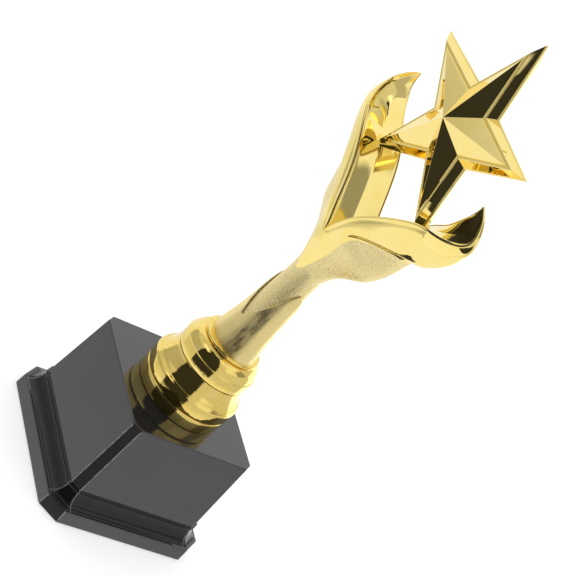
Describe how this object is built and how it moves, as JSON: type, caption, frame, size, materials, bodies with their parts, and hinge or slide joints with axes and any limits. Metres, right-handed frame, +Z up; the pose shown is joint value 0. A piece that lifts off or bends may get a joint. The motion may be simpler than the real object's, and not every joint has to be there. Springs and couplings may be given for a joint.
{
  "type": "star trophy",
  "caption": "Award with a five-pointed gold star held between two leaf-shaped arms, on a turned gold riser and a square black base.",
  "frame": {"origin": "middle of the underside, on the surface that the award stands on", "axes": "+Z up; the star faces -Y, and X runs across it from the left arm to the right arm"},
  "size_m": [0.0928, 0.075, 0.2485],
  "materials": {
    "black_plastic": "moulded black plastic, satin sides and a glossy top",
    "bright_gold": "moulded plastic with a bright gold metal plating",
    "satin_gold": "moulded plastic with a smooth, slightly satin gold metal plating",
    "grained_gold": "moulded plastic with a fine stippled grain under a gold metal plating",
    "steel": "zinc-plated steel",
    "insert_brass": "machined brass",
    "ballast": "rough cast iron",
    "pad": "matt foam rubber"
  },
  "bodies": {
    "root": {"base_block": "black_plastic", "base_cover": "black_plastic", "base_pad": "pad", "base_ballast": "ballast", "cover_screws": "steel", "riser_foot": "bright_gold", "riser_drum": "bright_gold", "riser_collar": "bright_gold", "stem_ring": "bright_gold", "stem": "grained_gold", "stem_sleeve": "satin_gold", "left_arm": "bright_gold", "right_arm": "bright_gold", "arm_dowels": "steel", "star_front": "bright_gold", "star_back": "bright_gold", "star_pegs": "steel", "tie_rod": "steel", "stem_insert": "insert_brass", "rod_washer": "steel", "rod_nut": "steel"}
  },
  "joints": []
}
